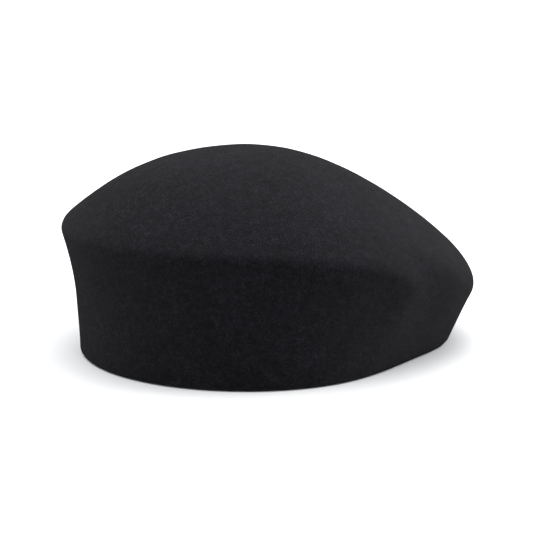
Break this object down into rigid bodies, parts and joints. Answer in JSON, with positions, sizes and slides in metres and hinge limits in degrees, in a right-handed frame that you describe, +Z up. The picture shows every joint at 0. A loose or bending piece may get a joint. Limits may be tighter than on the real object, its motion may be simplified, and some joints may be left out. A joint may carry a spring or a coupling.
{
  "type": "beret",
  "caption": "Stiff moulded felt beret: a full dome overhangs a waisted band and falls to a low front; satin lining, ribbon sweatband, bow and blank labels inside.",
  "frame": {"origin": "centre of the hat's footprint, on the plane its rim stands on", "axes": "+Z up through the crown, -Y towards the low front, +Y towards the tall back, +X the wearer's left"},
  "size_m": [0.1914, 0.2338, 0.113],
  "materials": {
    "felt": "matt black wool felt, fine nap",
    "ribbon": "ribbed black grosgrain",
    "lining": "black satin",
    "thread": "black polyester thread",
    "label_thread": "off-white thread",
    "woven_label": "blank woven damask",
    "care_label": "blank off-white satin tape",
    "wire": "spring wire",
    "joiner": "crimped brass sleeve"
  },
  "bodies": {
    "hat": {"felt_body": "felt", "edge_wire": "wire", "wire_joiner": "joiner", "hem_stitches": "thread", "side_lining": "lining", "tip_lining": "lining", "lining_stitches": "thread", "sweatband": "ribbon", "sweatband_stitches": "thread", "lap_stitches": "thread", "bow_loops": "ribbon", "bow_knot": "ribbon", "bow_tack": "thread", "crown_label": "woven_label", "size_label": "woven_label", "care_label_tab": "care_label", "care_label_stitches": "label_thread"},
    "care_label": {"care_label_flap": "care_label"}
  },
  "joints": [
    {"name": "care_label_swing", "type": "hinge", "parent": "hat", "child": "care_label", "pos_m": [0, 0.10095, 0.0723], "axis": [-1, 0, 0], "range_deg": [0, 110]}
  ]
}
